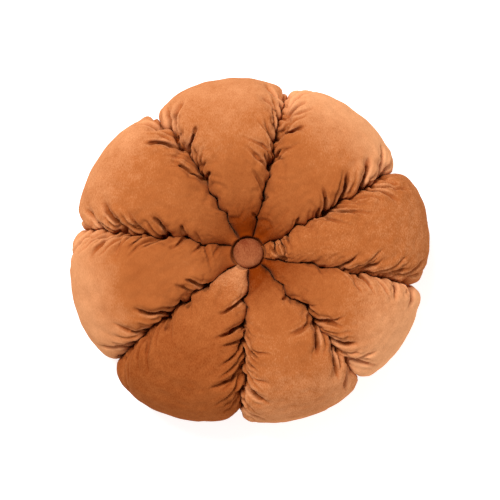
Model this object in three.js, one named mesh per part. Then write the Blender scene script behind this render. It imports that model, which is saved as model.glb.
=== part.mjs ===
// A round flower cushion: eight filled petals sewn side by side into one velvet cover, drawn in at the middle
// under a covered button. It lies on its back. Millimetres and degrees, +Z up, angles from +X towards +Y.

import * as THREE from "three";
import { mergeVertices } from "three/addons/utils/BufferGeometryUtils.js";

// Driving sizes
const CUSHION_REACH = 225; // from the button's middle to a full petal's rim
const SEAT_HEIGHT = 96; // the drawn-in cloth under the button
const BUTTON_DIAMETER = 37;
const BUTTON_THICKNESS = 12;
const PIECE_GAP = 0.3;
const SEAT_RADIUS = BUTTON_DIAMETER / 2 + 1; // the cloth is flat this far out, and rises round the button's edge

// How finely the cover is divided: columns across a petal, and bands of rows from the middle of the face to the
// middle of the back. The first band lies under the button. The gathers lie in the closest one.
const COLUMNS_IN_A_PETAL = 14;
const COLUMN_CROWDING = 0.05; // how much closer the columns lie beside the seams
const SEAT_STATION = 0.8;
const ROW_BANDS = [
  { fromStation: 0, toStation: SEAT_STATION, rows: 2 },
  { fromStation: SEAT_STATION, toStation: 3, rows: 8 },
  { fromStation: 3, toStation: 8, rows: 26 },
  { fromStation: 8, toStation: 15, rows: 12 },
];

// The seams, counterclockwise. rim and button are the seam's angles at its two ends, bow is how far it strays
// between them, and notch is its distance from the middle at the rim.
const SEAMS = [
  { rim: 29.5, button: 26, bow: 0.5, notch: 201 },
  { rim: 76, button: 73, bow: 1, notch: 197 },
  { rim: 123.5, button: 121, bow: -1.7, notch: 195 },
  { rim: 171.5, button: 165, bow: 0, notch: 205 },
  { rim: 219.6, button: 215, bow: 0, notch: 209 },
  { rim: 266.3, button: 268, bow: 0, notch: 199 },
  { rim: 311, button: 317, bow: -0.5, notch: 205 },
  { rim: 349.3, button: 345, bow: 2.5, notch: 205 },
];

// The petals, each from the seam of its own row to the next. reach is its rim's distance from the middle, lean is
// the share by which it is fuller towards its far seam, and rise is what its crown stands above the common one.
const PETALS = [
  { reach: 224, lean: -0.15, rise: 0 },
  { reach: 220, lean: 0, rise: 2 },
  { reach: 223, lean: 0.05, rise: -1 },
  { reach: 226, lean: 0.1, rise: 1 },
  { reach: 225, lean: -0.35, rise: -2 },
  { reach: 218, lean: 0.3, rise: 0 },
  { reach: 224, lean: 0.05, rise: -1 },
  { reach: 228, lean: 0, rise: 1 },
];

// The cover's two outlines from the middle of its face, round the rim, to the middle of its back: along a petal's
// crown and along a seam. share is of the reach or the notch, height is above the floor. The stations lie about
// STATION_LENGTH apart on the cloth. Below the floor a petal is pressed flat.
const STATION_LENGTH = 36;
const STATIONS = [
  { share: 0, crown: SEAT_HEIGHT, seam: SEAT_HEIGHT },
  { share: 0.12, crown: 107, seam: 99 },
  { share: 0.24, crown: 128, seam: 107 },
  { share: 0.38, crown: 141, seam: 113 },
  { share: 0.53, crown: 149, seam: 117 },
  { share: 0.68, crown: 149, seam: 117 },
  { share: 0.83, crown: 138, seam: 110 },
  { share: 0.95, crown: 113, seam: 95 },
  { share: 1, crown: 76, seam: 74 },
  { share: 0.96, crown: 38, seam: 54 },
  { share: 0.85, crown: 9, seam: 38 },
  { share: 0.7, crown: -7, seam: 28 },
  { share: 0.52, crown: -9, seam: 24 },
  { share: 0.34, crown: 1, seam: 25 },
  { share: 0.17, crown: 22, seam: 31 },
  { share: 0, crown: 36, seam: 36 },
];

// A petal's section from seam to seam is an ellipse that is a little square-shouldered.
const PETAL_SHOULDER = 0.85;

// The gathers. Each starts at a seam, at a station of the outline, and runs out into the petal on one side of it:
// side 1 is counterclockwise. sweep is its angle towards the rim from a line square to the seam.
const FOLDS = [
  { seam: 0, side: -1, station: 4.2, sweep: 49, length: 68, depth: 5 },
  { seam: 0, side: -1, station: 5.8, sweep: 52, length: 74, depth: 4 },
  { seam: 0, side: 1, station: 4.4, sweep: 49, length: 61, depth: 6 },
  { seam: 0, side: 1, station: 5.2, sweep: 49, length: 66, depth: 6 },
  { seam: 0, side: 1, station: 6.0, sweep: 52, length: 79, depth: 6 },
  { seam: 1, side: -1, station: 4.9, sweep: 37, length: 61, depth: 6 },
  { seam: 1, side: -1, station: 5.6, sweep: 48, length: 68, depth: 5.5 },
  { seam: 1, side: -1, station: 6.4, sweep: 52, length: 73, depth: 5.5 },
  { seam: 1, side: 1, station: 5.1, sweep: 58, length: 68, depth: 6 },
  { seam: 1, side: 1, station: 5.8, sweep: 57, length: 73, depth: 6 },
  { seam: 2, side: -1, station: 4.9, sweep: 38, length: 59, depth: 6 },
  { seam: 2, side: -1, station: 5.9, sweep: 40, length: 86, depth: 6 },
  { seam: 2, side: 1, station: 5.0, sweep: 43, length: 77, depth: 5.5 },
  { seam: 2, side: 1, station: 6.1, sweep: 40, length: 89, depth: 5 },
  { seam: 3, side: -1, station: 3.5, sweep: 45, length: 52, depth: 6 },
  { seam: 3, side: -1, station: 5.2, sweep: 42, length: 74, depth: 6 },
  { seam: 3, side: -1, station: 6.0, sweep: 52, length: 70, depth: 6 },
  { seam: 3, side: 1, station: 5.0, sweep: 55, length: 79, depth: 4 },
  { seam: 3, side: 1, station: 5.9, sweep: 56, length: 70, depth: 4 },
  { seam: 4, side: -1, station: 4.2, sweep: 44, length: 70, depth: 6 },
  { seam: 4, side: -1, station: 5.3, sweep: 42, length: 63, depth: 5 },
  { seam: 4, side: -1, station: 6.4, sweep: 46, length: 82, depth: 4 },
  { seam: 4, side: 1, station: 5.3, sweep: 38, length: 77, depth: 3.5 },
  { seam: 5, side: -1, station: 3.0, sweep: 42, length: 70, depth: 4 },
  { seam: 5, side: -1, station: 4.8, sweep: 40, length: 82, depth: 5 },
  { seam: 5, side: 1, station: 5.1, sweep: 44, length: 86, depth: 6 },
  { seam: 6, side: -1, station: 5.1, sweep: 60, length: 66, depth: 6 },
  { seam: 6, side: 1, station: 3.9, sweep: 50, length: 56, depth: 6 },
  { seam: 6, side: 1, station: 4.9, sweep: 58, length: 54, depth: 6 },
  { seam: 6, side: 1, station: 5.9, sweep: 57, length: 73, depth: 6 },
  { seam: 7, side: -1, station: 6.0, sweep: 25, length: 54, depth: 5.5 },
  { seam: 7, side: 1, station: 4.6, sweep: 52, length: 52, depth: 5.5 },
  { seam: 7, side: 1, station: 5.6, sweep: 55, length: 73, depth: 4 },
];
const FOLD_HALF_WIDTH = 7.5;
const FOLD_ROOT = 22; // a gather is full this far from the stitching
const FOLD_FULL_SHARE = 0.4; // the share of its length after which it fades
const SLOPE_STEP = 0.01;

const radians = THREE.MathUtils.degToRad;
const mix = THREE.MathUtils.lerp;
const { smoothstep } = THREE.MathUtils;

const outline = (height) =>
  new THREE.SplineCurve(STATIONS.map((place) => new THREE.Vector2(place.share, place[height])));
const crownOutline = outline("crown");
const seamOutline = outline("seam");
const LAST_STATION = STATIONS.length - 1;

const seamAfter = (index) => (index + 1) % SEAMS.length;

// A seam's angle at a share of its way out to the rim.
function seamAngle(index, share) {
  const seam = SEAMS[index];
  return mix(seam.button, seam.rim, share) + seam.bow * Math.sin(Math.PI * share);
}

// How deep the gathers of one seam are on one of its sides. across is the distance on the cloth from the seam.
function gatherDepth(seam, side, across, station) {
  let depth = 0;
  for (const fold of FOLDS) {
    if (fold.seam !== seam || fold.side !== side) continue;
    const along = (station - fold.station) * STATION_LENGTH;
    const sweep = radians(fold.sweep);
    const run = across * Math.cos(sweep) + along * Math.sin(sweep);
    const aside = (along * Math.cos(sweep) - across * Math.sin(sweep)) / FOLD_HALF_WIDTH;
    const fade = 1 - smoothstep(run, FOLD_FULL_SHARE * fold.length, fold.length);
    depth += fold.depth * fade * Math.exp(-aside * aside);
  }
  return depth * smoothstep(across, 0, FOLD_ROOT);
}

// The two seams of a petal where they pass a share of the way out, as angles that rise.
function petalEdges(index, share) {
  const start = seamAngle(index, share);
  const end = seamAngle(seamAfter(index), share);
  return [radians(start), radians(end < start ? end + 360 : end)];
}

// A point of the smooth cover: in a petal, from its own seam (0) to the next (1), at a station of the outline.
function smoothPoint(index, across, station) {
  const petal = PETALS[index];
  const time = station / LAST_STATION;
  const crown = crownOutline.getPoint(time);
  const seam = seamOutline.getPoint(time);
  const turn = (1 - Math.cos(Math.PI * across)) / 2;
  const bulge = Math.sin(Math.PI * across) ** PETAL_SHOULDER;
  const [start, end] = petalEdges(index, seam.x);
  const angle = mix(start, end, turn);
  const notch = mix(SEAMS[index].notch, SEAMS[seamAfter(index)].notch, turn);
  const fullness = bulge * (1 + petal.lean * (2 * turn - 1));
  const radius = mix(notch, petal.reach, fullness) * crown.x;
  const rise = petal.rise * smoothstep(radius, SEAT_RADIUS, CUSHION_REACH / 2);
  const height = mix(seam.y, crown.y + rise, bulge);
  return new THREE.Vector3(radius * Math.cos(angle), radius * Math.sin(angle), height);
}

// A petal's length on the cloth from seam to seam, as half the girth of an ellipse.
function petalGirth(index, station) {
  const time = station / LAST_STATION;
  const crown = crownOutline.getPoint(time);
  const seam = seamOutline.getPoint(time);
  const reach = PETALS[index].reach * crown.x;
  const [start, end] = petalEdges(index, seam.x);
  const wall = Math.hypot(reach - SEAMS[index].notch * seam.x, crown.y - seam.y);
  return (Math.PI / 2) * ((reach * (end - start)) / 2 + wall);
}

// A point of the finished cover. The gathers sink square to the cloth, which lies flat under the button and where
// it is pressed on the floor.
function coverPoint(index, across, station) {
  const point = smoothPoint(index, across, station);
  const girth = petalGirth(index, station);
  const sunk =
    gatherDepth(index, 1, girth * across, station) +
    gatherDepth(seamAfter(index), -1, girth * (1 - across), station);
  if (sunk > 0) {
    const outwards = smoothPoint(index, across, station + SLOPE_STEP).sub(point);
    const sideways = smoothPoint(index, across + SLOPE_STEP, station).sub(point);
    point.addScaledVector(sideways.cross(outwards).normalize(), sunk);
  }
  if (station <= SEAT_STATION) {
    point.setZ(0).setLength((SEAT_RADIUS * station) / SEAT_STATION).setZ(SEAT_HEIGHT);
  }
  point.z = Math.max(point.z, 0);
  return point;
}

// The station of each row of the cover's grid.
function rowStations() {
  const stations = [0];
  for (const band of ROW_BANDS) {
    for (let row = 1; row <= band.rows; row += 1) {
      stations.push(mix(band.fromStation, band.toStation, row / band.rows));
    }
  }
  return stations;
}

// A globe's squares are all cut along the same diagonal. The gathers run outwards from both seams of a petal, so
// the squares in its second half are cut along the other one. The rows at the poles are triangles already.
function turnDiagonals(globe, columns, rows) {
  const corners = globe.index.array;
  for (let square = 0; square < columns * (rows - 2); square += 1) {
    if (square % COLUMNS_IN_A_PETAL < COLUMNS_IN_A_PETAL / 2) continue;
    const first = 3 * (columns + 2 * square);
    corners[first + 2] = corners[first + 4];
    corners[first + 3] = corners[first];
  }
}

// The cover starts as a globe with its poles on Z, whose meridians become seams and crowns.
function cushionGeometry() {
  const columns = PETALS.length * COLUMNS_IN_A_PETAL;
  const stations = rowStations();
  const rows = stations.length - 1;
  const globe = new THREE.SphereGeometry(1, columns, rows).rotateX(Math.PI / 2);
  turnDiagonals(globe, columns, rows);
  globe.deleteAttribute("normal");
  globe.deleteAttribute("uv");
  const cover = mergeVertices(globe, 1e-5);
  const position = cover.getAttribute("position");
  const place = new THREE.Vector3();
  for (let i = 0; i < position.count; i += 1) {
    place.fromBufferAttribute(position, i);
    const column = Math.round((Math.atan2(place.y, place.x) / (2 * Math.PI)) * columns + columns) % columns;
    const row = Math.round((Math.acos(THREE.MathUtils.clamp(place.z, -1, 1)) / Math.PI) * rows);
    const petal = Math.floor(column / COLUMNS_IN_A_PETAL);
    const share = (column % COLUMNS_IN_A_PETAL) / COLUMNS_IN_A_PETAL;
    const across = share - COLUMN_CROWDING * Math.sin(2 * Math.PI * share);
    place.copy(coverPoint(petal, across, stations[row]));
    position.setXYZ(i, place.x, place.y, place.z);
  }
  cover.computeVertexNormals();
  return cover;
}

function buildCushion() {
  const velvet = new THREE.MeshStandardMaterial({ color: 0xbc6f41, roughness: 0.85, metalness: 0 });
  const cushion = new THREE.Mesh(cushionGeometry(), velvet);
  cushion.name = "cushion";
  return cushion;
}

// The button: a domed shell covered in the same velvet, with a rolled edge and a flat back.
function buildButton() {
  const radius = BUTTON_DIAMETER / 2;
  const edgeHeight = 0.4 * BUTTON_THICKNESS;
  const profile = new THREE.Path();
  profile.moveTo(0, 0);
  profile.lineTo(0.86 * radius, 0);
  profile.quadraticCurveTo(radius, 0, radius, edgeHeight);
  profile.bezierCurveTo(
    radius,
    0.72 * BUTTON_THICKNESS,
    0.62 * radius,
    BUTTON_THICKNESS,
    0,
    BUTTON_THICKNESS,
  );
  const outlinePoints = profile.getPoints(8);
  outlinePoints[0].x = 0;
  outlinePoints[outlinePoints.length - 1].x = 0;
  const geometry = new THREE.LatheGeometry(outlinePoints, 32).rotateX(Math.PI / 2);
  const cloth = new THREE.MeshStandardMaterial({ color: 0xa85f36, roughness: 0.85, metalness: 0 });
  const button = new THREE.Mesh(geometry, cloth);
  button.name = "button";
  button.position.z = SEAT_HEIGHT + PIECE_GAP;
  return button;
}

// The petals are uneven, so the group is moved until the origin lies under the middle of the whole outline.
const cushion = buildCushion();
const flowerCushion = new THREE.Group();
flowerCushion.add(cushion, buildButton());
const middle = new THREE.Box3().setFromObject(cushion).getCenter(new THREE.Vector3());
flowerCushion.position.set(-middle.x, -middle.y, 0);

export default flowerCushion;
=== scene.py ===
"""A round flower cushion in velvet: eight filled petals, gathered at their seams, and a covered button."""

import math

import bmesh
import bpy
import numpy as np
from bpy.props import FloatProperty, FloatVectorProperty, PointerProperty
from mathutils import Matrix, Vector


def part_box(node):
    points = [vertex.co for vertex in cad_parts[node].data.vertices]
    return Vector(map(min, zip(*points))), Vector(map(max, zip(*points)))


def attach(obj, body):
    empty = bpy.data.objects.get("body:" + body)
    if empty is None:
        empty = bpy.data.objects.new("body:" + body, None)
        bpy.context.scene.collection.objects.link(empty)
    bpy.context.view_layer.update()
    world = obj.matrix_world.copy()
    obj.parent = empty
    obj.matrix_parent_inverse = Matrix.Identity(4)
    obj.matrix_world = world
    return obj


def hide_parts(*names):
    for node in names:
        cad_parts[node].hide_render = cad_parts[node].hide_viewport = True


bl_info = {
    "name": "Flower Cushion",
    "version": (1, 0, 0),
    "blender": (4, 5, 0),
    "location": "3D View > Sidebar > Cushion",
    "description": "Makes a velvet flower cushion with gathered petals and a covered button",
    "category": "Add Mesh",
}

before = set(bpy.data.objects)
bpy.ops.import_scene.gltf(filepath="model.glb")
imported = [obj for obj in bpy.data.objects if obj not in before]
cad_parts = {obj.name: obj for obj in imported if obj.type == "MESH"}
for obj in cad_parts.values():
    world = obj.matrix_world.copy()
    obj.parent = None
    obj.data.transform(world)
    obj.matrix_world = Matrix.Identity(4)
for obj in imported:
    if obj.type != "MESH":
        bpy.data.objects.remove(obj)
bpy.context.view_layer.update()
BUTTON_LOW, BUTTON_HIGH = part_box("button")

# The tables are in millimetres and degrees, from the middle of the button. Angles run from +X towards +Y.
MM = 0.001
PIECE_GAP = 0.3
MERGE_DISTANCE = 1e-6  # in metres
TINY = 1e-9
MIDDLE = (BUTTON_LOW + BUTTON_HIGH) / 2
BUTTON_RADIUS = (BUTTON_HIGH.x - BUTTON_LOW.x) / 2 / MM
BUTTON_THICKNESS = (BUTTON_HIGH.z - BUTTON_LOW.z) / MM
SEAT_HEIGHT = BUTTON_LOW.z / MM - PIECE_GAP
SEAT_RADIUS = BUTTON_RADIUS + PIECE_GAP

# The seams, counterclockwise. rim and button are a seam's angles at its two ends, bow is how far it
# strays between them, and notch is its distance from the middle at the rim. course has, at distances from
# the middle, how far its stitching is pulled counterclockwise of that line.
SEAMS = [
    {
        "rim": 29.3, "button": 26, "bow": 0.3, "notch": 192,
        "course": [
            (22, 0), (36, -1), (44, -3), (58, 0), (66, 1),
            (71, -3), (75, 0), (84, 1), (93, -2), (103, 0.5),
        ],
    },
    {
        "rim": 75.5, "button": 73, "bow": 1, "notch": 192,
        "course": [
            (22, 0), (45, 1), (58, 0), (62, 1.5), (69, -1),
            (84, 1.5), (92, -0.5), (112, 1.5), (116, -1), (130, 2),
        ],
    },
    {
        "rim": 123.5, "button": 121, "bow": -1.7, "notch": 190,
        "course": [
            (22, 0.5), (45, 1.5), (52, -2), (61, 3), (72, 0),
            (81, 1.5), (93, 0.5), (103, -2), (112, 0), (150, 0.5),
        ],
    },
    {
        "rim": 172.1, "button": 165, "bow": 0, "notch": 201,
        "course": [
            (22, -3), (44, -1), (54, 2.5), (69, -1), (75, 0),
            (80, -3), (86, -0.5), (112, 1.5), (144, 2), (155, 0),
        ],
    },
    {
        "rim": 219.9, "button": 215, "bow": 0, "notch": 196,
        "course": [
            (21, 4), (30, 1.5), (60, 1), (67, 2), (79, -2),
            (94, 1.5), (101, -1), (121, 0.5), (138, -3), (180, -1.5),
        ],
    },
    {
        "rim": 266.3, "button": 268, "bow": 0, "notch": 191,
        "course": [
            (22, 1), (36, 2), (52, 0), (57, -2), (61, 1),
            (86, -1.5), (92, 2), (104, -2.5), (112, 0), (127, 2),
        ],
    },
    {
        "rim": 311.6, "button": 317, "bow": -0.5, "notch": 200,
        "course": [
            (22, 1), (35, 2.5), (45, -1), (55, 1.5), (75, -1.5),
            (95, 4), (105, 3), (113, -1.5), (119, 2), (128, 0),
        ],
    },
    {
        "rim": 350.5, "button": 345, "bow": 2.2, "notch": 197,
        "course": [
            (22, -1), (36, 0), (46, -3), (50, 0), (74, 2),
            (84, -1.5), (98, 0), (130, -3.5), (140, -1), (176, -4),
        ],
    },
]
COURSE_END = 250

# The petals, each from the seam of its own row to the next. reach is its rim's distance from the middle,
# lean is the share by which it is fuller towards its far seam, and rise is what its crown stands above
# the common one. pile says how light its velvet is at each of PILE_ZONES' distances, from 0, dark, to 1,
# light: partly how it is brushed, partly painted shade in most petals' hearts round the button and
# painted sheen towards most rims. uneven is how unevenly.
PETALS = [
    {"reach": 221, "lean": -0.02, "rise": 0, "pile": [0, 0.43, 0.43, 0.88], "uneven": 0.9},
    {"reach": 218.5, "lean": 0.04, "rise": 2, "pile": [-0.07, 0.4, 0.54, 0.68], "uneven": 0.9},
    {"reach": 221, "lean": 0.05, "rise": -1, "pile": [0.2, 0.42, 0.45, 0.7], "uneven": 1},
    {"reach": 225, "lean": 0.13, "rise": 1, "pile": [0.25, 0.45, 0.41, 0.8], "uneven": 0.7},
    {"reach": 225.5, "lean": -0.4, "rise": -2, "pile": [0.69, 0.43, 0.26, 0.28], "uneven": 1.4},
    {"reach": 216.5, "lean": 0.17, "rise": 0, "pile": [0, 0.46, 0.49, 0.7], "uneven": 1.15},
    {"reach": 223.5, "lean": 0.11, "rise": -1, "pile": [0.02, 0.36, 0.51, 0.93], "uneven": 1},
    {"reach": 227, "lean": 0.04, "rise": 1, "pile": [0.32, 0.49, 0.46, 0.55], "uneven": 1.35},
]
PILE_ZONES = [30, 75, 140, 212]

# The cover's two outlines from the middle of its face, round the rim, to the middle of its back: along a
# petal's crown and along a seam. share is of the reach or the notch, and the heights are above the floor.
# Below the floor a petal is pressed flat.
STATIONS = [
    {"share": 0, "crown": SEAT_HEIGHT, "seam": SEAT_HEIGHT},
    {"share": 0.12, "crown": 107, "seam": 99},
    {"share": 0.24, "crown": 128, "seam": 107},
    {"share": 0.38, "crown": 141, "seam": 113},
    {"share": 0.53, "crown": 149, "seam": 117},
    {"share": 0.68, "crown": 149, "seam": 120},
    {"share": 0.83, "crown": 138, "seam": 115},
    {"share": 0.95, "crown": 113, "seam": 98},
    {"share": 1, "crown": 76, "seam": 74},
    {"share": 0.96, "crown": 38, "seam": 54},
    {"share": 0.85, "crown": 9, "seam": 38},
    {"share": 0.7, "crown": -7, "seam": 28},
    {"share": 0.52, "crown": -9, "seam": 24},
    {"share": 0.34, "crown": 1, "seam": 25},
    {"share": 0.17, "crown": 22, "seam": 31},
    {"share": 0, "crown": 36, "seam": 36},
]
SEAT_STATION = 0.8
RIM_STATION = 8
LAST_STATION = len(STATIONS) - 1

# A petal's section from seam to seam has square shoulders: a power of 1 would give an ellipse, 0 a box.
SECTION_WIDTH_POWER = 0.85
SECTION_HEIGHT_POWER = 0.72
RIM_POWER = 0.95

# The stitching lies deeper than the channel between two petals, in a narrow cleft.
CLEFT_START = 19
CLEFT_FULL = 36
CLEFT_END = (1, 5)  # how many stations before the rim it has ended, and how many before it is still full

# The petals' inner ends crowd up round the button.
COLLAR_HEIGHT = 6
COLLAR_PULL = 6.8
COLLAR_BREADTH = 6

# How finely the simulated cover is divided. The finished one has FINER times as many rows and columns.
COLUMNS_IN_A_PETAL = 22
COLUMN_CROWDING = -0.02
ROW_BANDS = [
    {"end": SEAT_STATION, "rows": 1},
    {"end": 2.5, "rows": 14},
    {"end": RIM_STATION, "rows": 36},
    {"end": 10, "rows": 5},
    {"end": LAST_STATION, "rows": 6},
]
FINER = 4

# The gathers, by their seam and the side of it on which they run out into a petal: side 1 is
# counterclockwise. Each row has a gather's width, its depth and its path: a few points from the seam
# outwards, each with its distance from the middle and its distance from the seam.
GATHERS = {
    (0, 1): [
        (3.5, 4, [(62, 0), (67, 4), (73, 9)]),
        (4, 5, [(93, 0), (96, 4), (100, 8)]),
        (4.5, 7, [(102, 0), (108, 6), (112, 12), (116, 22)]),
        (4, 3.5, [(112, 0), (122, 9), (133, 18), (145, 27)]),
        (5.5, 9, [(122, 0), (132, 6), (141, 14), (149, 23)]),
        (5, 8.5, [(152, 0), (162, 7), (172, 16), (180, 25)]),
        (3, 4, [(160, 0), (170, 3), (179, 5)]),
        (5, 9, [(176, 0), (186, 6), (195, 15), (203, 25), (207, 32)]),
        (3.5, 5, [(185, 0), (196, 6), (204, 11), (210, 18)]),
    ],
    (0, -1): [
        (3.5, 9, [(36, 0), (34, 8), (33, 14)]),
        (3.5, 9, [(43, 2), (43, 14), (45, 28)]),
        (3.5, 6, [(56, 0), (52, 7), (51, 12)]),
        (3.5, 4, [(93, 1), (101, 5), (106, 12), (118, 22)]),
        (4, 6, [(106, 0), (118, 6), (128, 13), (140, 20), (152, 29)]),
        (3, 3, [(124, 0), (138, 8), (155, 14)]),
        (3, 3, [(134, 0), (146, 6), (158, 12)]),
        (4.5, 7, [(160, 0), (170, 9), (179, 18), (187, 29)]),
        (4, 7, [(170, 1), (180, 9), (192, 17), (205, 26)]),
        (3, 4, [(178, 0), (190, 3), (201, 6)]),
    ],
    (1, 1): [
        (4, 3, [(44, 0), (47, 6)]),
        (4, 3, [(72, 1), (82, 6), (95, 17)]),
        (5, 4, [(102, 1), (108, 10), (121, 27)]),
        (4.5, 7, [(106, 0), (111, 5), (117, 10)]),
        (4, 3.5, [(120, 2), (127, 12), (134, 31)]),
        (4, 5, [(137, 2), (144, 9), (152, 16)]),
        (4, 7, [(147, 2), (158, 9), (168, 12), (176, 16)]),
        (4.5, 9, [(158, 1), (168, 5), (175, 11), (184, 24)]),
        (4.5, 9, [(170, 0), (182, 6), (192, 15), (203, 27)]),
        (3.5, 5, [(182, 0), (192, 4), (208, 13)]),
    ],
    (1, -1): [
        (7, 1, [(24, 8), (38, 18), (50, 27)]),
        (6, 1.4, [(42, 2), (44, 12), (40, 22)]),
        (3.5, 3, [(66, 0), (70, 4)]),
        (3.5, 4, [(112, 0), (117, 4), (119, 9)]),
        (4.5, 9, [(141, 0), (149, 5), (154, 13), (161, 22)]),
        (4, 5, [(152, 1), (162, 6), (167, 10)]),
        (4, 5, [(160, 0), (170, 8), (178, 18), (188, 29)]),
        (4.5, 8, [(168, 0), (178, 6), (185, 13), (191, 19)]),
        (3.5, 6, [(174, 0), (186, 4), (197, 11), (207, 19)]),
        (3, 4, [(184, 0), (195, 3), (206, 11)]),
    ],
    (2, 1): [
        (4.5, 7, [(105, 1), (115, 8), (127, 13), (138, 18)]),
        (5, 8.5, [(148, 1), (158, 7), (166, 14), (173, 22), (180, 30)]),
        (4.5, 7, [(182, 1), (190, 8), (200, 16), (208, 25)]),
        (3.5, 4, [(188, 1), (198, 4), (207, 8)]),
    ],
    (2, -1): [
        (6, 1.2, [(48, 2), (43, 11), (49, 20)]),
        (4.5, 6, [(98, 0), (104, 4), (107, 9)]),
        (4, 4, [(108, 1), (116, 6), (120, 12)]),
        (4, 5, [(118, 1), (128, 6), (138, 11)]),
        (3.5, 4, [(126, 0), (134, 4), (143, 7)]),
        (4.5, 9, [(138, 1), (146, 6), (150, 13), (156, 21), (163, 27)]),
        (3.5, 5, [(148, 0), (158, 5), (166, 8)]),
        (3, 4, [(156, 0), (170, 8), (180, 17), (186, 26)]),
        (6, 9, [(163, 0), (175, 8), (184, 14), (190, 22), (197, 33)]),
        (4.5, 8, [(175, 0), (187, 8), (196, 14), (204, 20)]),
        (3.5, 5, [(195, 0), (204, 7), (211, 14)]),
    ],
    (3, 1): [
        (5, 2, [(36, 0), (39, 7), (43, 15)]),
        (6, 2.4, [(55, 1), (50, 9), (47, 17), (48, 27)]),
        (4, 2.5, [(58, 2), (61, 8), (66, 14)]),
        (4, 3.5, [(80, 1), (84, 8), (91, 12)]),
        (4, 5.5, [(100, 1), (110, 7), (124, 15)]),
        (3.5, 4, [(139, 1), (146, 5), (152, 7)]),
        (5, 7, [(150, 1), (160, 6), (171, 11), (180, 19), (187, 28)]),
        (4.5, 7, [(160, 1), (175, 6), (186, 11), (198, 22)]),
        (3.5, 5, [(174, 1), (186, 6), (197, 9)]),
        (3.5, 5, [(190, 1), (203, 13), (215, 26)]),
    ],
    (3, -1): [
        (4, 2.5, [(60, 1), (66, 8)]),
        (4, 7, [(75, 0), (79, 5), (85, 12)]),
        (4.5, 8, [(98, 0), (104, 7), (110, 13), (119, 19)]),
        (4, 5, [(124, 1), (132, 5), (141, 9)]),
        (3.5, 4, [(134, 0), (145, 4), (155, 8)]),
        (5.5, 9, [(150, 1), (158, 7), (167, 15), (176, 23), (182, 31)]),
        (3.5, 4, [(168, 0), (180, 5), (190, 12)]),
        (4.5, 8, [(176, 1), (186, 9), (194, 17), (202, 24)]),
        (3.5, 6, [(190, 1), (202, 5), (213, 16), (219, 24)]),
    ],
    (4, 1): [
        (3.5, 5, [(60, 1), (65, 4), (69, 5)]),
        (3.5, 6, [(89, 0), (94, 4), (97, 6)]),
        (4, 5, [(121, 0), (126, 4), (133, 9)]),
        (3, 3, [(156, 1), (165, 10), (180, 26)]),
        (3.5, 4, [(182, 0), (192, 3), (201, 6)]),
        (3.5, 5, [(198, 2), (210, 14), (220, 28)]),
    ],
    (4, -1): [
        (4.5, 8, [(64, 0), (70, 4), (75, 12), (80, 18)]),
        (4, 4, [(76, 1), (82, 6), (92, 18)]),
        (4.5, 6, [(102, 0), (110, 4), (121, 13)]),
        (5, 8.5, [(120, 1), (128, 9), (138, 16), (144, 23), (150, 31)]),
        (4, 5, [(131, 1), (139, 4), (147, 10)]),
        (4.5, 8, [(148, 0), (158, 7), (165, 11), (171, 18)]),
        (4, 4, [(158, 2), (170, 17), (178, 32)]),
        (4, 6, [(162, 0), (175, 4), (188, 11), (198, 18)]),
        (3.5, 5, [(180, 0), (190, 8), (203, 20), (213, 32)]),
        (3, 4, [(190, 0), (201, 5)]),
    ],
    (5, 1): [
        (7, 1.5, [(50, 1), (44, 8), (38, 16), (34, 25)]),
        (3.5, 4, [(86, 0), (92, 4)]),
        (4.5, 8, [(104, 0), (112, 4), (119, 9), (125, 17)]),
        (4, 3, [(113, 5), (119, 15), (122, 27)]),
        (4, 6, [(121, 0), (127, 5), (134, 7)]),
        (4, 5, [(140, 1), (151, 7), (162, 12)]),
        (4, 3, [(142, 2), (150, 14), (155, 27)]),
        (5.5, 9, [(150, 1), (162, 7), (168, 14), (173, 22), (180, 32)]),
        (4, 6, [(172, 1), (180, 8), (188, 14)]),
        (4.5, 7, [(185, 1), (192, 8), (198, 19), (202, 30)]),
        (3.5, 4, [(193, 0), (200, 6), (207, 12)]),
    ],
    (5, -1): [
        (4, 6, [(54, 0), (58, 5), (65, 13), (76, 25), (80, 32)]),
        (4.5, 8, [(85, 0), (90, 7), (97, 17), (106, 30)]),
        (4, 6, [(98, 0), (104, 4), (108, 10), (114, 22)]),
        (4.5, 6, [(139, 0), (150, 8), (158, 18), (165, 30)]),
    ],
    (6, 1): [
        (5, 6, [(80, 0), (92, 5), (102, 7), (111, 11)]),
        (5, 7, [(112, 0), (118, 7), (124, 12), (132, 17), (140, 21)]),
        (4, 3, [(124, 12), (130, 20), (136, 29)]),
        (5, 8, [(138, 1), (150, 6), (158, 11), (166, 20)]),
        (4, 5, [(154, 0), (165, 4), (174, 8)]),
        (5, 7.5, [(170, 0), (182, 6), (192, 14), (200, 20), (208, 25)]),
        (4, 4, [(178, 6), (186, 20), (192, 31)]),
    ],
    (6, -1): [
        (4, 3, [(66, 0), (71, 4), (69, 10)]),
        (6, 5, [(106, 1), (111, 6), (112, 15), (110, 29)]),
        (5, 8, [(119, 0), (128, 7), (136, 13), (143, 19)]),
        (5, 9, [(147, 0), (158, 6), (168, 11), (181, 18)]),
        (4, 6, [(178, 0), (188, 5), (198, 13)]),
    ],
    (7, 1): [
        (3.5, 9, [(46, 0), (38, 4), (32, 9), (29, 14)]),
        (4.5, 6, [(137, 0), (145, 6), (153, 10)]),
        (5, 6, [(166, 0), (178, 5), (190, 12)]),
        (4, 6, [(178, 1), (190, 5), (200, 12), (212, 25)]),
        (3.5, 5, [(190, 1), (203, 6), (212, 12), (220, 21)]),
    ],
    (7, -1): [
        (4, 4, [(129, 0), (135, 4)]),
        (4, 4, [(155, 0), (163, 4)]),
        (5, 7, [(171, 0), (178, 6), (182, 13), (184, 23)]),
        (4.5, 6, [(179, 0), (187, 5), (193, 11), (197, 18)]),
        (5.5, 9, [(187, 0), (198, 5), (205, 11), (208, 20), (207, 29)]),
    ],
}
GATHER_STEPS = 60
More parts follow.
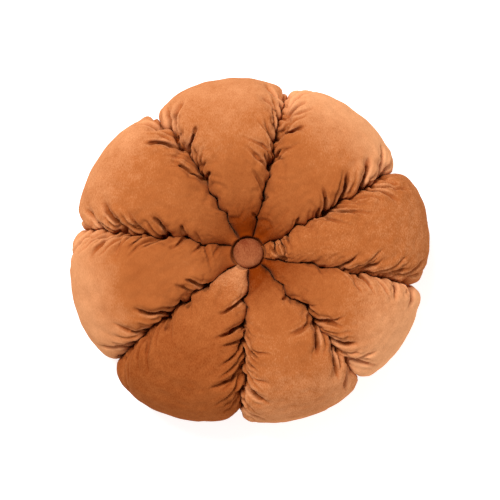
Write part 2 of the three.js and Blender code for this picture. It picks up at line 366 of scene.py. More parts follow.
# How far a gather fades out past its last point, as a share of the way from the point before.
GATHER_TAIL = 0.8
GATHER_MARGIN = 4  # how far beside a gather its ridge still counts, in widths

# Between those gathers lie fine ones, from FINE_START out to the rim, on both sides of each seam.
FINE_START = 104
FINE_SPACING = 11
FINE_UNEVEN = 2.5
FINE_PATH = [(0, 0), (10, 4), (20, 10), (29, 19)]
FINE_WIDTH = 3
FINE_DEPTH = 4.4
FINE_END = 10  # how far inside the notch the last one starts
# They are uneven in waves along each seam.
FINE_TURNS = {"seam": 5, "side": 2, "place": 1.9}
FINE_LENGTH_UNEVEN = 0.3
FINE_LENGTH_TURN = 2.3
FINE_DEPTH_UNEVEN = 0.4
FINE_DEPTH_TURN = 3.1

GATHER_LAST_STATION = 10
GATHER_END_WIDTH = 0.75  # a gather's width at its end, as a share of that at its seam
GATHER_FULL_SHARE = 0.35  # the share of its length over which it stays deep
GATHER_RIDGE = 0.55  # the height of the ridges beside it, as a share of its depth
TROUGH_SLOPE = 1.6
TROUGH_POWER = 1.3
GATHER_START = 0.7  # a gather's depth at its seam, as a share of that from GATHER_START_END on
GATHER_START_END = 6
RIDGE_PLACE = 1.9  # how far beside a gather its ridges stand, in widths
RIDGE_WIDTH = 0.8
SLOPE_STEP = 0.01

# The simulation. The cover starts from shallow gathers and is cut for deep ones, with more cloth beside
# the seams.
SEEDED_GATHERS = 0.4
CUT_GATHERS = 0.8
SOFT_WIDTH = 7  # the least width of a gather in the simulation, whose cloth is coarse
SPARE_CLOTH_WIDTH = 0.3
SPARE_CLOTH_START = (1, 2.5)  # the stations over which it sets in, and the one at which it ends
SPARE_CLOTH_END = 11
SPARE_CLOTH_FADE = 2
WEIGHT_STEPS = 20
HELD_FACE_STATION = 1
HELD_BACK_STATION = 12
CLOTH_FRAMES = 24
CLOTH_QUALITY = 5
CLOTH_MASS = 0.01
CLOTH_STIFFNESS = 3
CLOTH_SHEARING = 1
CLOTH_BENDING = 0.1

# The folds that are finer than the simulation's cloth: along each gather, a broad one and the crease at
# its bottom.
FOLDS = [{"breadth": 1, "share": 0.65}, {"breadth": 0.42, "share": 0.65}]
FOLD_WIDTH = 1.5  # the least width of a fold
FOLD_PAINTED_LIGHT = 0.08  # how much darker the pile is painted for each millimetre of a crease's depth: painted shade in the crease, and painted highlight where a ridge beside it stands up
FOLD_PAINTED_LIGHT_LIMIT = 0.3
SEAM_PAINTED_SHADE = 0.4  # how much darker the pile is painted inside a seam, as painted shade in its cleft
SEAM_PAINTED_SHADE_REACH = 0.05

# Two petals press against each other on a wall over their seam, which the stronger gather pushes aside.
# Where they fall short of it they are drawn to it.
WALL_GAP = 0.1
WALL_SOFTNESS = 0.9
WALL_REACH = 40
WALL_ROOT = 0.1
WALL_COLUMNS = 20
SWAY_LIMIT = 5
SWAY_SMOOTHINGS = 2
EVENING = [0.25, 0.5, 0.25]  # the shares of a value's neighbours and its own when a row is smoothed
CLOSING_LIMIT = 7
CLOSING_REACH = 6
CLOSING_SHARE = 0.8
CLOSING_END = 0.4  # how many stations past the rim they are drawn no more, and over how many that sets in
CLOSING_FADE = 0.9
LEAST_SOFTNESS = 1e-3

# The button's dome.
BUTTON_PROFILE_STEPS = 36
BUTTON_SEGMENTS = 96
BUTTON_EDGE = 3.5
BUTTON_ROUNDING = 0.75

# The velvet: large patches, small marks and the tufts of its pile. Scale counts them in a metre, and a
# share is of the way from dark to light pile.
PATCHES = {"Scale": 24, "Detail": 3, "Roughness": 0.6}
PATCH_SHARE = 0.32
MARKS = {"Scale": 120, "Detail": 2, "Roughness": 0.5}
MARK_SHARE = 0.15
MARK_RELIEF = 0.5
PILE = {"Detail": 2, "Roughness": 0.7}
PILE_SHARE = 0.48
PILE_STRETCH = (1.6, 0.6, 1)
PILE_RELIEF = {"Strength": 0.5, "Distance": 0.0006}
COVER_GRAIN = 640
BUTTON_GRAIN = 700
BUTTON_UNEVEN = 1.8
BUTTON_SATURATION = 0.95
BUTTON_LIGHT = 0.11
BUTTON_TILT = 8  # how much lighter the button's velvet is for each metre towards its lower edge
BUTTON_TUFTS = {"Scale": 90, "Detail": 2, "Roughness": 0.5}
BUTTON_TUFT_SHARE = 0.3
SHEEN = 0.08
SHEEN_ROUGHNESS = 0.4

# The stage.
FLOOR_SIZE = 15
PAPER = {"Scale": 400, "Detail": 2, "Roughness": 0.5}
PAPER_ROUGHNESS = 0.8
PAPER_UNEVEN = 0.1
LAMP_SIZE = 0.8
LAMP_PLACE = (-0.6, 1.0, 2.1)
FILL_PLACE = (1.0, -1.0, 1.4)
LIT_PLACE = (0, 0, 0.1)

# The camera sees VIEW_WIDTH metres at VIEW_LEVEL above the floor.
VIEW_WIDTH = 0.625
VIEW_LEVEL = 0.076


def mix(start, end, share):
    return start + (end - start) * share


def smooth(value, low, high):
    """Runs smoothly from 0 at low to 1 at high."""
    share = np.clip((value - low) / (high - low), 0, 1)
    return share * share * (3 - 2 * share)


def column(table, name):
    return np.array([row[name] for row in table], float)


def spline(values, place):
    """Points at places counted in values, on the smooth curve through them."""
    last = len(values) - 1
    first = np.clip(np.floor(place).astype(int), 0, last - 1)
    share = (place - first).reshape(np.shape(place) + (1,) * (values.ndim - 1))
    before = values[np.maximum(first - 1, 0)]
    start = values[first]
    end = values[first + 1]
    after = values[np.minimum(first + 2, last)]
    square = share * share
    cube = square * share
    return (
        (2 * cube - 3 * square + 1) * start
        + (cube - 2 * square + share) * (end - before) / 2
        + (3 * square - 2 * cube) * end
        + (cube - square) * (after - start) / 2
    )


def unit(vectors):
    return vectors / np.maximum(np.linalg.norm(vectors, axis=-1, keepdims=True), TINY)


def row_stations(finer=1):
    """The station of each row of the cover."""
    stations = [0.0]
    for band in ROW_BANDS:
        start = stations[-1]
        rows = band["rows"] * finer
        stations.extend(mix(start, band["end"], np.arange(1, rows + 1) / rows))
    return np.array(stations)


def cover_grid(finer=1):
    """The petal, the place across it and the station of each of the cover's points, in rows."""
    columns = len(PETALS) * COLUMNS_IN_A_PETAL * finer
    turn = np.arange(columns) / (COLUMNS_IN_A_PETAL * finer)
    petal = np.arange(columns) // (COLUMNS_IN_A_PETAL * finer)
    share = turn - petal
    across = share - COLUMN_CROWDING * np.sin(2 * math.pi * share)
    stations = row_stations(finer)
    shape = (len(stations), columns)
    station = np.repeat(stations, columns).reshape(shape)
    return np.broadcast_to(petal, shape), np.broadcast_to(across, shape), station


def near_seam(across, reach):
    """1 at a petal's two seams, fading over a share of its width."""
    return np.exp(-((np.minimum(across, 1 - across) / reach) ** 2))


def outline(name, station):
    return spline(column(STATIONS, name), station)


def seam_line(seam, share):
    """The angle of a seam's plain line, in degrees, at a share of its way out to the rim."""
    button = column(SEAMS, "button")[seam]
    rim = column(SEAMS, "rim")[seam]
    return mix(button, rim, share) + column(SEAMS, "bow")[seam] * np.sin(math.pi * share)


def seam_courses():
    """How far each seam is pulled aside at each millimetre from the middle."""
    return np.array([np.interp(np.arange(COURSE_END), *zip(*row["course"])) for row in SEAMS])


def seam_angle(seam, share):
    """The angle of a seam's stitching, in degrees, at a share of its way out to the rim."""
    distance = np.maximum(column(SEAMS, "notch")[seam] * share, SEAT_RADIUS)
    before = np.floor(distance).astype(int)
    courses = seam_courses()
    pulled = mix(courses[seam, before], courses[seam, before + 1], distance - before)
    return seam_line(seam, share) + np.degrees(pulled / distance)


def petal_edges(petal, share):
    """The angles of a petal's two seams, in degrees, the second above the first."""
    start = seam_angle(petal, share)
    end = seam_angle((petal + 1) % len(SEAMS), share)
    return start, np.where(end < start, end + 360, end)


def smooth_cover(petal, across, station, cleft):
    """Points of the cover before its gathers. across runs from a petal's own seam, 0, to the next, 1."""
    share = outline("share", station)
    swing = np.cos(math.pi * across)
    turn = (1 - np.sign(swing) * np.abs(swing) ** SECTION_WIDTH_POWER) / 2
    lift = np.clip(np.sin(math.pi * across), 0, 1)
    start, end = petal_edges(petal, share)
    angle = np.radians(mix(start, end, turn))
    notches = column(SEAMS, "notch")
    notch = mix(notches[petal], notches[(petal + 1) % len(SEAMS)], turn)
    fullness = lift**RIM_POWER * (1 + column(PETALS, "lean")[petal] * (2 * turn - 1))
    radius = mix(notch, column(PETALS, "reach")[petal], fullness) * share
    collar = np.exp(-np.maximum(radius - SEAT_RADIUS, 0) / COLLAR_BREADTH) * (station < RIM_STATION)
    radius = np.maximum(radius - COLLAR_PULL * collar * lift, 0)
    rise = column(PETALS, "rise")[petal] * smooth(radius, SEAT_RADIUS, PILE_ZONES[1])
    sink = cleft * smooth(radius, CLEFT_START, CLEFT_FULL) * smooth(RIM_STATION - station, *CLEFT_END)
    seam_height = outline("seam", station) - sink
    crown_height = outline("crown", station) + rise + COLLAR_HEIGHT * collar
    height = mix(seam_height, crown_height, lift**SECTION_HEIGHT_POWER)
    return np.stack([radius * np.cos(angle), radius * np.sin(angle), height], axis=-1)


def main_gathers():
    """The gathers of the table, each with its seam and side."""
    made = []
    for (seam, side), rows in GATHERS.items():
        for width, depth, path in rows:
            made.append({"seam": seam, "side": side, "width": width, "depth": depth, "path": path})
    return made


def fine_gathers():
    """The fine gathers, unevenly long and deep."""
    made = []
    for seam, row in enumerate(SEAMS):
        for side in (1, -1):
            count = int((row["notch"] - FINE_END - FINE_START) / FINE_SPACING)
            for place in range(count):
                turn = FINE_TURNS["seam"] * seam + FINE_TURNS["side"] * side + FINE_TURNS["place"] * place
                start = FINE_START + FINE_SPACING * place + FINE_UNEVEN * math.sin(turn)
                length = 1 + FINE_LENGTH_UNEVEN * math.sin(FINE_LENGTH_TURN * turn)
                path = [(start + length * out, length * aside) for out, aside in FINE_PATH]
                depth = FINE_DEPTH * (1 + FINE_DEPTH_UNEVEN * math.sin(FINE_DEPTH_TURN * turn))
                gather = {"seam": seam, "side": side, "width": FINE_WIDTH, "depth": depth, "path": path}
                made.append(gather)
    return made


def gather_course(gather):
    """Points along a gather, seen from above, and how far each is from the seam."""
    path = np.array(gather["path"], float)
    path = np.vstack([path, path[-1] + (path[-1] - path[-2]) * GATHER_TAIL])
    radius, aside = spline(path, np.linspace(0, len(path) - 1, GATHER_STEPS)).T
    seam = gather["seam"]
    angle = np.radians(seam_line(seam, radius / SEAMS[seam]["notch"])) + gather["side"] * aside / radius
    return np.stack([radius * np.cos(angle), radius * np.sin(angle)], axis=-1), aside


def gather_depth(points, petal, station, gathers, breadth, least):
    """How deep gathers sink the cover at each point, with a low ridge beside each: the deepest counts."""
    troughs = np.zeros(petal.shape)
    ridges = np.zeros(petal.shape)
    level = points[..., :2]
    for gather in gathers:
        own = gather["seam"] if gather["side"] > 0 else (gather["seam"] - 1) % len(SEAMS)
        course, off = gather_course(gather)
        start_width = max(breadth * gather["width"], least)
        margin = GATHER_MARGIN * start_width
        inside = (level > course.min(axis=0) - margin) & (level < course.max(axis=0) + margin)
        near = (petal == own) & (station < GATHER_LAST_STATION) & inside.all(axis=-1)
        apart = np.linalg.norm(level[near][:, None] - course, axis=2)
        nearest = apart.argmin(axis=1)
        along = nearest / (GATHER_STEPS - 1)
        aside = apart.min(axis=1) / (start_width * mix(1, GATHER_END_WIDTH, along))
        begun = mix(GATHER_START, 1, smooth(off[nearest], 0, GATHER_START_END))
        strength = gather["depth"] * begun * smooth(1 - along, 0, 1 - GATHER_FULL_SHARE)
        trough = strength * np.exp(-TROUGH_SLOPE * aside**TROUGH_POWER)
        ridge = strength * GATHER_RIDGE * np.exp(-(((aside - RIDGE_PLACE) / RIDGE_WIDTH) ** 2))
        troughs[near] = np.maximum(troughs[near], trough)
        ridges[near] = np.maximum(ridges[near], ridge)
    return troughs - ridges


def gathered_cover(petal, across, station, cleft, share):
    """Points of the cover with a share of its gathers, sunk square to it, and flat under the button."""
    points = smooth_cover(petal, across, station, cleft)
    outwards = smooth_cover(petal, across, station + SLOPE_STEP, cleft) - points
    sideways = smooth_cover(petal, across + SLOPE_STEP, station, cleft) - points
    inward = unit(np.cross(sideways, outwards))
    seated = station <= SEAT_STATION
    depth = gather_depth(points, petal, station, main_gathers(), 1, SOFT_WIDTH) * share
    points = points + inward * np.where(seated, 0, depth)[..., None]
    level = np.linalg.norm(points[..., :2], axis=-1)
    seat = SEAT_RADIUS * station / SEAT_STATION
    points[..., :2] *= np.where(seated, seat / np.maximum(level, TINY), 1)[..., None]
    points[seated, 2] = SEAT_HEIGHT
    return points


def read_points(mesh):
    points = np.empty(len(mesh.vertices) * 3)
    mesh.vertices.foreach_get("co", points)
    return points.reshape(-1, 3)


def write_points(mesh, points):
    mesh.vertices.foreach_set("co", points.reshape(-1))
    mesh.update()


def add_attribute(mesh, name, values):
    attribute = mesh.attributes.new(name, "FLOAT", "POINT")
    attribute.data.foreach_set("value", values)


def to_frame(points):
    """From millimetres round the button's middle to the frame's metres."""
    return points * MM + np.array([MIDDLE.x, MIDDLE.y, 0])


def from_frame(points):
    return (points - np.array([MIDDLE.x, MIDDLE.y, 0])) / MM


def add_object(name, mesh):
    made = bpy.data.objects.new(name, mesh)
    bpy.context.scene.collection.objects.link(made)
    return made


def rolled_mesh(name, grid):
    """A sheet of the grid's points, rolled up and closed, and the row and column of each vertex."""
    rows, columns = grid.shape[0] - 1, grid.shape[1]
    bm = bmesh.new()
    bmesh.ops.create_grid(bm, x_segments=columns, y_segments=rows, size=1)
    mesh = bpy.data.meshes.new(name)
    bm.to_mesh(mesh)
    flat = (read_points(mesh) + 1) / 2
    column = np.round(flat[:, 0] * columns).astype(int) % columns
    row = np.round(flat[:, 1] * rows).astype(int)
    write_points(mesh, to_frame(grid[row, column]))
    add_attribute(mesh, "place", (row * columns + column).astype(float))
    bm.clear()
    bm.from_mesh(mesh)
    bmesh.ops.remove_doubles(bm, verts=bm.verts, dist=MERGE_DISTANCE)
    bmesh.ops.recalc_face_normals(bm, faces=bm.faces)
    bm.to_mesh(mesh)
    bm.free()
    place = np.empty(len(mesh.vertices))
    mesh.attributes["place"].data.foreach_get("value", place)
    mesh.attributes.remove(mesh.attributes["place"])
    place = np.round(place).astype(int)
    return mesh, place // columns, place % columns


def weigh(piece, name, weights):
    """Gives a piece a vertex group, with the weights in a few even steps."""
    group = piece.vertex_groups.new(name=name)
    steps = np.round(weights * WEIGHT_STEPS).astype(int)
    for step in np.unique(steps):
        group.add(np.nonzero(steps == step)[0].tolist(), float(step) / WEIGHT_STEPS, "REPLACE")
    return name


def fill_cover(start, cut, across, station, settings):
    """Fills the cover with a cloth simulation: from the start's points, with the cloth of the cut's."""
    mesh, rows, columns = rolled_mesh("filling_cover", start)
    cover = add_object("filling_cover", mesh)
    cover.shape_key_add(name="Basis")
    wanted = cover.shape_key_add(name="Cut")
    wanted.data.foreach_set("co", to_frame(cut[rows, columns]).reshape(-1))
    held = (across == 0) | (station < HELD_FACE_STATION) | (station > HELD_BACK_STATION)
    spare = near_seam(across, SPARE_CLOTH_WIDTH) * smooth(station, *SPARE_CLOTH_START)
    spare *= smooth(SPARE_CLOTH_END - station, 0, SPARE_CLOTH_FADE)
    closed = cover.modifiers.new("Closed", "WELD")
    closed.merge_threshold = MERGE_DISTANCE
    filling = cover.modifiers.new("Filling", "CLOTH")
    cloth = filling.settings
    cloth.quality = CLOTH_QUALITY
    cloth.mass = CLOTH_MASS
    cloth.tension_stiffness = CLOTH_STIFFNESS
    cloth.compression_stiffness = CLOTH_STIFFNESS
    cloth.shear_stiffness = CLOTH_SHEARING
    cloth.bending_stiffness = CLOTH_BENDING
    cloth.use_pressure = True
    cloth.uniform_pressure_force = settings.filling
    cloth.effector_weights.gravity = 0
    cloth.vertex_group_mass = weigh(cover, "held", held[rows, columns].astype(float))
    cloth.rest_shape_key = wanted
    cloth.shrink_min = -settings.spare_cloth
    cloth.shrink_max = 0
    cloth.vertex_group_shrink = weigh(cover, "taut", 1 - spare[rows, columns])
    filling.collision_settings.use_collision = False
    for moment in range(1, CLOTH_FRAMES + 1):
        bpy.context.scene.frame_set(moment)
    filled = cover.evaluated_get(bpy.context.evaluated_depsgraph_get()).to_mesh()
    settled = from_frame(read_points(filled))
    bpy.data.objects.remove(cover)
    bpy.context.scene.frame_set(1)
    moved = settled - start[rows, columns]
    length = np.linalg.norm(moved, axis=1, keepdims=True)
    moved *= np.minimum(1, settings.swell_limit / MM / np.maximum(length, TINY))
    result = start.copy()
    result[rows, columns] += moved
    return result


def finer_points(grid):
    """The grid with FINER times as many rows and columns, on smooth curves through its points."""
    rows = np.arange((len(grid) - 1) * FINER + 1) / FINER
    grid = spline(grid, rows)
    columns = grid.shape[1]
    ring = np.concatenate([grid[:, -1:], grid, grid[:, :2]], axis=1)
    places = 1 + np.arange(columns * FINER) / FINER
    return np.moveaxis(spline(np.moveaxis(ring, 1, 0), places), 0, 1)


def polar(points):
    return np.arctan2(points[..., 1], points[..., 0]), np.linalg.norm(points[..., :2], axis=-1)


def clearance(points, seam, side, share, sway):
    """How far points stand from a seam's wall, in millimetres, on one side of it."""
    angle, radius = polar(points)
    off = (angle - np.radians(seam_angle(seam, share)) + math.pi) % (2 * math.pi) - math.pi
    return side * (off * radius - sway)


def creased(points, petal, across, station, cleft):
    """Points with the gathers' finer folds, and how deep the creases at their bottoms are."""
    plain = smooth_cover(petal, across, station, cleft)
    depth = np.zeros(petal.shape)
    gathers = main_gathers() + fine_gathers()
    for fold in FOLDS:
        sunk = gather_depth(plain, petal, station, gathers, fold["breadth"], FOLD_WIDTH)
        crease = fold["share"] * sunk
        depth += crease
    outwards = np.gradient(points, axis=0)
    sideways = np.roll(points, -1, axis=1) - np.roll(points, 1, axis=1)
    inward = unit(np.cross(sideways, outwards))
    folded = np.where(station <= SEAT_STATION, 0, depth)
    return points + inward * folded[..., None], crease


def evened(values, times):
    """A row of values, smoothed along its length."""
    for _ in range(times):
        values = np.convolve(np.pad(values, 1, mode="edge"), EVENING, mode="valid")
    return values


def seam_walls(points, station):
    """Where each seam's wall stands in each row, and how far the petals on its two sides fall short."""
    share = outline("share", station[:, :1])
    across = np.arange(1, WALL_COLUMNS + 1)
    sways = []
    gaps = []
    for seam in range(len(SEAMS)):
        first = seam * COLUMNS_IN_A_PETAL * FINER
        nearest = {}
        for side in (1, -1):
            beside = points[:, (first + side * across) % points.shape[1]]
            nearest[side] = clearance(beside, seam, side, share, 0).min(axis=1)
        sway = evened(np.clip((nearest[1] - nearest[-1]) / 2, -SWAY_LIMIT, SWAY_LIMIT), SWAY_SMOOTHINGS)
        sways.append(sway)
        short = {side: nearest[side] - side * sway for side in (1, -1)}
        gaps.append([evened(np.clip(short[side], 0, CLOSING_LIMIT), 1) for side in (1, -1)])
    return np.array(sways), np.array(gaps)


def press_together(points, petal, across, station):
    """Presses each petal against the walls over its two seams, so that neighbours meet and don't cross."""
    share = outline("share", station)
    ease = smooth(1 - np.abs(2 * across - 1), 0, WALL_ROOT) * smooth(station, SEAT_STATION, 1)
    closing = ease * CLOSING_SHARE * smooth(RIM_STATION + CLOSING_END - station, 0, CLOSING_FADE)
    sways, gaps = seam_walls(points, station)
    row = np.broadcast_to(np.arange(len(points))[:, None], petal.shape)
    angle, radius = polar(points)
    for index, (side, seam) in enumerate(((1, petal), (-1, (petal + 1) % len(SEAMS)))):
        clear = clearance(points, seam, side, share, sways[seam, row] * ease)
        drawn = gaps[seam, index, row] * np.exp(-np.maximum(clear, 0) / CLOSING_REACH)
        target = clear - closing * drawn
        gap = WALL_GAP * ease
        softness = np.maximum(WALL_SOFTNESS * ease, LEAST_SOFTNESS)
        kept = gap + softness * np.logaddexp(0, (target - gap) / softness)
        moved = np.where((clear < WALL_REACH) & (across > 0), kept - clear, 0)
        angle = angle + side * moved / np.maximum(radius, 1)
    height = np.maximum(points[..., 2], 0)
    return np.stack([radius * np.cos(angle), radius * np.sin(angle), height], axis=-1)


def pile_with_painted_light(petal, points):
    """How light the pile is at each point, from 0 to 1, and how unevenly: how it is brushed, with painted
    shade in the petals' hearts and painted sheen towards their rims.
    """
    radius = polar(points)[1]
    light = np.zeros(petal.shape)
    for index, row in enumerate(PETALS):
        light = np.where(petal == index, np.interp(radius, PILE_ZONES, row["pile"]), light)
    return light, column(PETALS, "uneven")[petal]


class Link:
    """A socket that an expression can be written with: each operation adds its Math node."""

    def __init__(self, finish, socket):
        self.finish = finish
        self.socket = socket

    def math(self, operation, first, second):
        return self.finish.node("ShaderNodeMath", {"operation": operation}, {0: first, 1: second})

    def __add__(self, other):
        return self.math("ADD", self, other)

    def __radd__(self, other):
        return self.math("ADD", other, self)

    def __sub__(self, other):
        return self.math("SUBTRACT", self, other)

    def __rsub__(self, other):
        return self.math("SUBTRACT", other, self)

    def __mul__(self, other):
        return self.math("MULTIPLY", self, other)

    def __rmul__(self, other):
        return self.math("MULTIPLY", other, self)


class Finish:
    """The nodes of one material."""

    def __init__(self, name):
        self.material = bpy.data.materials.new(name)
        self.material.use_nodes = True
        self.tree = self.material.node_tree
        self.shader = self.tree.nodes["Principled BSDF"]

    def node(self, kind, settings, inputs, output=0):
        """Adds a node: its settings come first, then the values or links of its sockets."""
        made = self.tree.nodes.new(kind)
        for name, value in settings.items():
            if name == "stops":
                set_stops(made.color_ramp, value)
            else:
                setattr(made, name, value)
        for name, value in inputs.items():
            self.feed(made.inputs[name], value)
        return Link(self, made.outputs[output])

    def feed(self, socket, value):
        if isinstance(value, Link):
            self.tree.links.new(value.socket, socket)
        else:
            socket.default_value = value

    def surface(self, **inputs):
        """Feeds the shader's sockets, named with underscores for spaces."""
        for name, value in inputs.items():
            self.feed(self.shader.inputs[name.replace("_", " ")], value)


def set_stops(ramp, stops):
    while len(ramp.elements) < len(stops):
        ramp.elements.new(1)
    for element, (place, colour) in zip(ramp.elements, stops):
        element.position = place
        element.color = colour


def opaque(colour):
    return (*colour, 1)


def noise(finish, place, kind):
    return finish.node("ShaderNodeTexNoise", {}, {"Vector": place, **kind})


def velvet_nodes(finish, light, uneven, colours, grain, saturation):
    """Velvet: its colour follows how light the pile is given, which carries painted light and shade as
    well as how it is brushed, and its grain stands up from the cloth.
    """
    place = finish.node("ShaderNodeTexCoord", {}, {}, "Object")
    patches = noise(finish, place, PATCHES)
    marks = noise(finish, place, MARKS)
    along = finish.node("ShaderNodeMapping", {}, {"Vector": place, "Scale": PILE_STRETCH})
    pile = noise(finish, along, {"Scale": grain, **PILE})
    strokes = (marks - 0.5) * MARK_SHARE + (pile - 0.5) * PILE_SHARE
    tone = light + (patches - 0.5) * PATCH_SHARE + strokes * uneven
    tones = (colours.pile_dark, colours.pile_mid, colours.pile_light)
    stops = [(step / 2, opaque(tone)) for step, tone in enumerate(tones)]
    brushed = finish.node("ShaderNodeValToRGB", {"stops": stops}, {"Fac": tone})
    colour = finish.node("ShaderNodeHueSaturation", {}, {"Saturation": saturation, "Color": brushed})
    relief = pile + marks * MARK_RELIEF
    bump = finish.node("ShaderNodeBump", {}, {**PILE_RELIEF, "Height": relief})
    finish.surface(Base_Color=colour, Roughness=1, Normal=bump, Specular_IOR_Level=0)
    finish.surface(Sheen_Weight=SHEEN, Sheen_Roughness=SHEEN_ROUGHNESS, Sheen_Tint=opaque(colours.sheen))


def velvet_cover(colours):
    finish = Finish("velvet_cover")
    # brushed holds the pile's tone together with painted shade in creases, seams and hearts and painted
    # highlight and sheen on ridges and rims.
    light = finish.node("ShaderNodeAttribute", {"attribute_name": "brushed"}, {}, "Fac")
    uneven = finish.node("ShaderNodeAttribute", {"attribute_name": "uneven"}, {}, "Fac")
    velvet_nodes(finish, light, uneven, colours, COVER_GRAIN, 1)
    return finish.material


def velvet_button(colours):
    """The button's velvet: it is lighter towards its lower edge, and its pile lies in small tufts."""
    finish = Finish("velvet_button")
    place = finish.node("ShaderNodeTexCoord", {}, {}, "Object")
    parts = finish.node("ShaderNodeSeparateXYZ", {}, {"Vector": place}, "Y")
    tufts = noise(finish, place, BUTTON_TUFTS)
    light = tufts * BUTTON_TUFT_SHARE + BUTTON_LIGHT - (parts - MIDDLE.y) * BUTTON_TILT
    velvet_nodes(finish, light, BUTTON_UNEVEN, colours, BUTTON_GRAIN, BUTTON_SATURATION)
    return finish.material


def build_cushion(settings):
    """The filled cover with its gathers."""
    petal, across, station = cover_grid()
    cleft = settings.cleft / MM
    start = gathered_cover(petal, across, station, cleft, SEEDED_GATHERS)
    cut = gathered_cover(petal, across, station, cleft, CUT_GATHERS)
    points = fill_cover(start, cut, across, station, settings)
    petal, across, station = cover_grid(FINER)
    points, crease = creased(finer_points(points), petal, across, station, cleft)
    points = press_together(points, petal, across, station)
    mesh, rows, columns = rolled_mesh("cushion_cover", points)
    # Each petal's tone mostly carries painted shade in its heart round the button and painted sheen
    # towards its rim.
    light, uneven = pile_with_painted_light(petal, points)
    # Painted shade: the pile is darker in the creases, and painted highlight makes it lighter on the
    # ridges beside them.
    light -= np.clip(FOLD_PAINTED_LIGHT * crease, -FOLD_PAINTED_LIGHT_LIMIT, FOLD_PAINTED_LIGHT_LIMIT)
    # Painted shade: the pile is darker inside the seams' clefts.
    light -= SEAM_PAINTED_SHADE * near_seam(across, SEAM_PAINTED_SHADE_REACH)
    # The attribute brushed holds this tone with all the painted light and shade in it.
    add_attribute(mesh, "brushed", light[rows, columns])
    add_attribute(mesh, "uneven", uneven[rows, columns])
    mesh.shade_smooth()
    mesh.materials.append(velvet_cover(settings))
    cushion = add_object("cushion_cover", mesh)
    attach(cushion, "root")
    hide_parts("cushion")


def button_profile():
    """Half of the button's section, from the middle of its underside to its top."""
    profile = []
    for step in range(BUTTON_PROFILE_STEPS + 1):
        turn = math.pi * (step / BUTTON_PROFILE_STEPS - 0.5)
        out = BUTTON_RADIUS * max(math.cos(turn), 0) ** BUTTON_ROUNDING
        up = math.sin(turn)
        end = BUTTON_THICKNESS if up > 0 else 0
        profile.append((out * MM, mix(BUTTON_EDGE, end, abs(up)) * MM))
    return profile


def build_button(settings):
    """The covered button: a dome with the same velvet stretched over it."""
    bm = bmesh.new()
    section = [bm.verts.new((MIDDLE.x + out, MIDDLE.y, BUTTON_LOW.z + up)) for out, up in button_profile()]
    edges = [bm.edges.new(pair) for pair in zip(section, section[1:])]
    bmesh.ops.spin(
        bm,
        geom=section + edges,
        cent=(MIDDLE.x, MIDDLE.y, 0),
        axis=(0, 0, 1),
        angle=2 * math.pi,
        steps=BUTTON_SEGMENTS,
        use_merge=True,
    )
    bmesh.ops.remove_doubles(bm, verts=bm.verts, dist=MERGE_DISTANCE)
    bmesh.ops.recalc_face_normals(bm, faces=bm.faces)
    mesh = bpy.data.meshes.new("covered_button")
    bm.to_mesh(mesh)
    bm.free()
    mesh.shade_smooth()
    mesh.materials.append(velvet_button(settings))
    button = add_object("covered_button", mesh)
    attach(button, "root")
    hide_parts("button")


def build_floor(colour, glow):
    bm = bmesh.new()
    bmesh.ops.create_grid(bm, x_segments=1, y_segments=1, size=FLOOR_SIZE)
    mesh = bpy.data.meshes.new("studio_floor")
    bm.to_mesh(mesh)
    bm.free()
    paper = Finish("studio_paper")
    place = paper.node("ShaderNodeTexCoord", {}, {}, "Object")
    grain = noise(paper, place, PAPER)
    paper.surface(Base_Color=opaque(colour), Roughness=PAPER_ROUGHNESS + PAPER_UNEVEN * grain)
    paper.surface(Emission_Color=opaque(colour), Emission_Strength=glow)
    mesh.materials.append(paper.material)
    add_object("studio_floor", mesh)


def build_light(name, place, power):
    lamp = bpy.data.lights.new(name, "AREA")
    lamp.size = LAMP_SIZE
    lamp.energy = power
    light = add_object(name, lamp)
    light.location = place
    light.rotation_euler = (Vector(LIT_PLACE) - light.location).to_track_quat("-Z", "Y").to_euler()


def build_camera(height):
    camera = bpy.data.cameras.new("camera")
    camera.lens = camera.sensor_width * (height - VIEW_LEVEL) / VIEW_WIDTH
    eye = add_object("camera", camera)
    eye.location = (0, 0, height)
    bpy.context.scene.camera = eye


def colour_property(name, description, default):
    """A colour that a user can change."""
    return FloatVectorProperty(
        name=name, description=description, default=default, size=3, min=0, max=1, subtype="COLOR"
    )


class CushionSettings(bpy.types.PropertyGroup):
    """The sizes and colours of the cushion."""

    cleft: FloatProperty(
        name="Cleft",
        description="How much deeper than the channel between two petals the stitching lies",
        default=0.014,
        min=0,
        unit="LENGTH",
    )
    filling: FloatProperty(
        name="Filling",
        description="How hard the filling presses on the cover",
        default=6,
        min=0,
    )
    spare_cloth: FloatProperty(
        name="Spare cloth",
        description="How much longer than its seams the cloth beside them is cut",
        default=0.08,
        min=0,
        max=0.5,
        subtype="FACTOR",
    )
    swell_limit: FloatProperty(
        name="Swell limit",
        description="The farthest that the filling may move the cover",
        default=0.012,
        min=0,
        unit="LENGTH",
    )
    # The ramp from dark to light pile also carries painted light: its dark end paints shade in creases,
    # seams and the petals' hearts, its light end painted sheen towards the rims.
    pile_dark: colour_property(
        "Dark pile", "The velvet where its pile is brushed towards the eye", (0.2, 0.03, 0.002)
    )
    pile_mid: colour_property("Pile", "The velvet's common colour", (0.42, 0.122, 0.032))
    pile_light: colour_property(
        "Light pile", "The velvet where its pile is brushed away from the eye", (0.82, 0.375, 0.172)
    )
    sheen: colour_property("Sheen", "The light on the tips of the pile", (1, 0.55, 0.3))


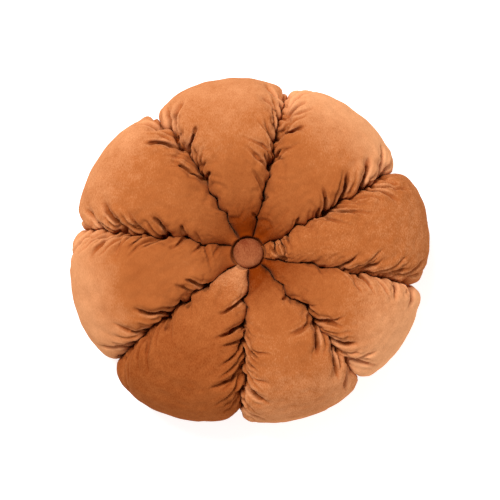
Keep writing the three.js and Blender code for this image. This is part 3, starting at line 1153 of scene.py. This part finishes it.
class StudioSettings(bpy.types.PropertyGroup):
    """The floor, the light and the camera."""

    floor: colour_property("Floor", "The colour of the floor", (0.92, 0.92, 0.92))
    glow: FloatProperty(
        name="Floor glow",
        description="How much light comes up through the floor, as on a light table",
        default=0.6,
        min=0,
    )
    ambient: FloatProperty(
        name="Ambient light",
        description="The strength of the light from all round",
        default=0.42,
        min=0,
    )
    lamp: FloatProperty(
        name="Lamp",
        description="The power of the large lamp",
        default=52,
        min=0,
        unit="POWER",
    )
    fill: FloatProperty(
        name="Fill",
        description="The power of the small lamp on the shaded side",
        default=7,
        min=0,
        unit="POWER",
    )
    camera_height: FloatProperty(
        name="Camera height",
        description="How high above the floor the camera hangs",
        default=2,
        min=0.5,
        unit="LENGTH",
    )


class CUSHION_OT_cover(bpy.types.Operator):
    """Make the filled velvet cover with its gathered petals"""

    bl_idname = "cushion.cover"
    bl_label = "Filled Cover"

    def execute(self, context):
        build_cushion(context.scene.cushion)
        return {"FINISHED"}


class CUSHION_OT_button(bpy.types.Operator):
    """Make the covered button"""

    bl_idname = "cushion.button"
    bl_label = "Covered Button"

    def execute(self, context):
        build_button(context.scene.cushion)
        return {"FINISHED"}


class CUSHION_OT_studio(bpy.types.Operator):
    """Make the floor, the light and the camera"""

    bl_idname = "cushion.studio"
    bl_label = "Studio"

    def execute(self, context):
        studio = context.scene.studio
        build_floor(studio.floor, studio.glow)
        world = bpy.data.worlds.new("studio")
        world.use_nodes = True
        background = world.node_tree.nodes["Background"]
        background.inputs["Color"].default_value = (1, 1, 1, 1)
        background.inputs["Strength"].default_value = studio.ambient
        context.scene.world = world
        build_light("softbox", LAMP_PLACE, studio.lamp)
        build_light("fill", FILL_PLACE, studio.fill)
        build_camera(studio.camera_height)
        context.scene.view_settings.view_transform = "Standard"
        return {"FINISHED"}


class CUSHION_PT_panel(bpy.types.Panel):
    """Lists the cushion's settings and the steps that make it"""

    bl_label = "Flower Cushion"
    bl_space_type = "VIEW_3D"
    bl_region_type = "UI"
    bl_category = "Cushion"

    def draw(self, context):
        for settings in (context.scene.cushion, context.scene.studio):
            for name in settings.__annotations__:
                self.layout.prop(settings, name)
        for operator in OPERATORS:
            self.layout.operator(operator.bl_idname)


OPERATORS = (CUSHION_OT_cover, CUSHION_OT_button, CUSHION_OT_studio)
CLASSES = (CushionSettings, StudioSettings, *OPERATORS, CUSHION_PT_panel)


def register():
    for item in CLASSES:
        bpy.utils.register_class(item)
    bpy.types.Scene.cushion = PointerProperty(type=CushionSettings)
    bpy.types.Scene.studio = PointerProperty(type=StudioSettings)


def unregister():
    del bpy.types.Scene.studio
    del bpy.types.Scene.cushion
    for item in reversed(CLASSES):
        bpy.utils.unregister_class(item)


def main():
    register()
    bpy.ops.cushion.cover()
    bpy.ops.cushion.button()
    bpy.ops.cushion.studio()


if __name__ == "__main__":
    main()
